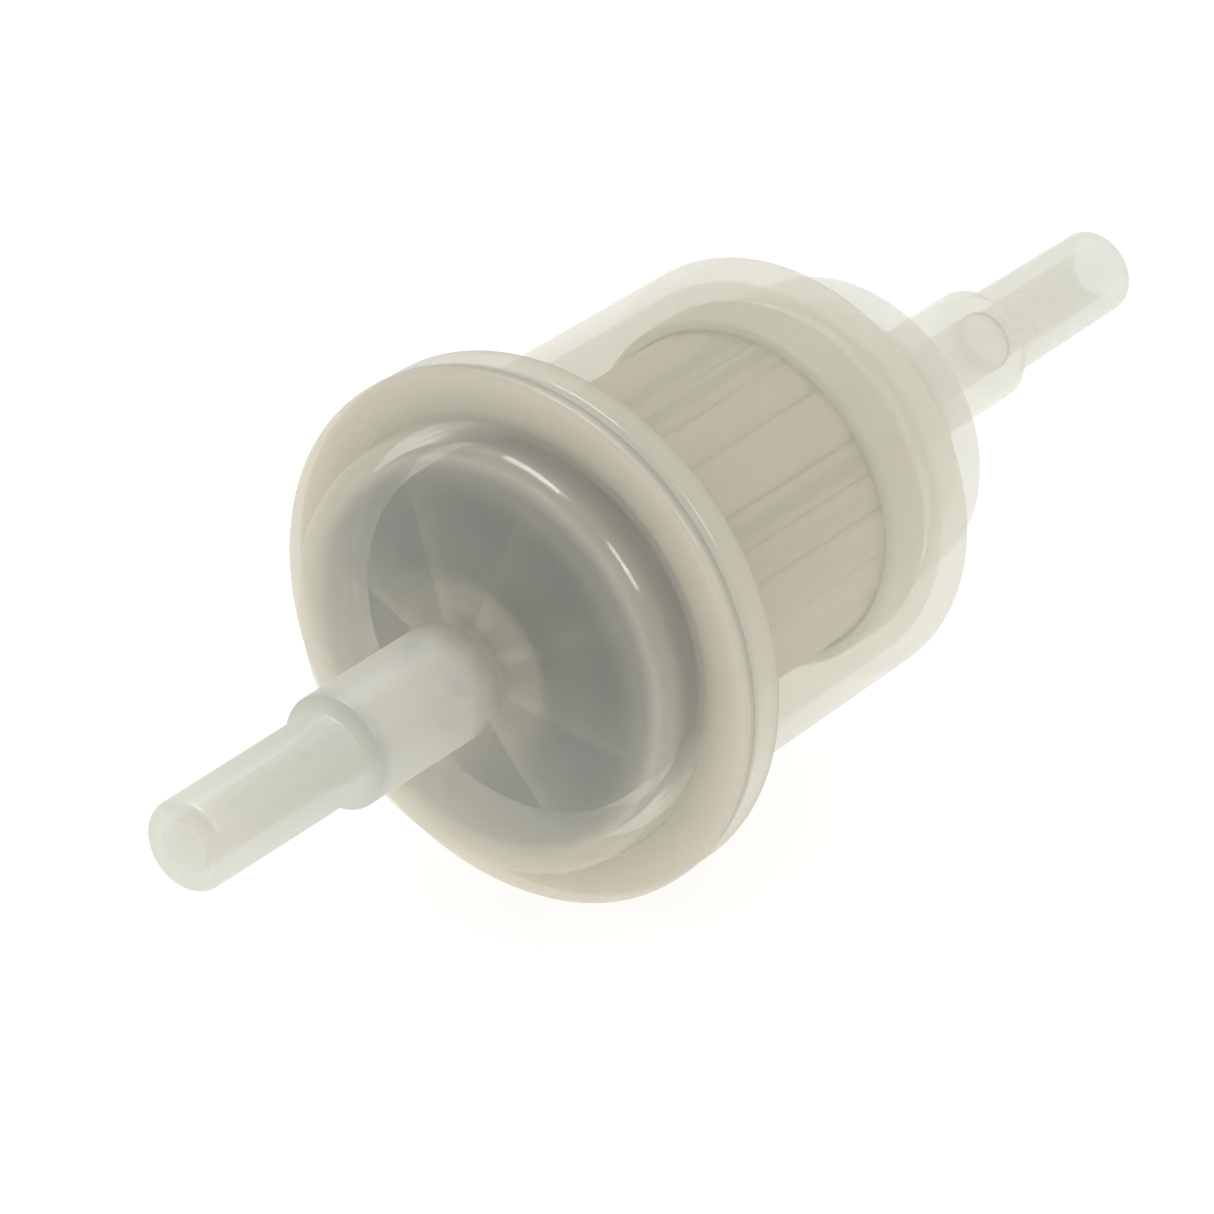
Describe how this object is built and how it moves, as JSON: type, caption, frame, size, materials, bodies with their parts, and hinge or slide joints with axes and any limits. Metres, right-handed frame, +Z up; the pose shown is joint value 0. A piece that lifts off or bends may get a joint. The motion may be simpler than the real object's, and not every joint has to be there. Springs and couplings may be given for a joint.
{
  "type": "in-line fuel filter",
  "caption": "In-line fuel filter: milky plastic shell with a flanged domed cap, a stepped hose nozzle at each end and a pleated paper element inside.",
  "frame": {"origin": "on the filter's axis, half way between the two nozzle tips, which is the middle of its bounding box", "axes": "+X along the axis in the direction of flow, from the inlet nozzle to the outlet nozzle; +Z up; one cap rib stands 16 degrees from +Y towards +Z"},
  "size_m": [0.0984, 0.0374, 0.0374],
  "materials": {
    "milky_plastic": "milky, see-through, smooth moulded, soft gloss",
    "disc_plastic": "satin, off-white",
    "filter_paper": "matte, fibrous, resin-treated",
    "cured_adhesive": "satin, amber",
    "seal_rubber": "matte, black"
  },
  "bodies": {
    "root": {"inlet_cap": "milky_plastic", "housing": "milky_plastic", "inlet_end_disc": "disc_plastic", "outlet_end_disc": "disc_plastic", "inlet_end_adhesive": "cured_adhesive", "outlet_end_adhesive": "cured_adhesive", "core_tube": "disc_plastic", "pleated_paper": "filter_paper", "outlet_seal": "seal_rubber"}
  },
  "joints": []
}
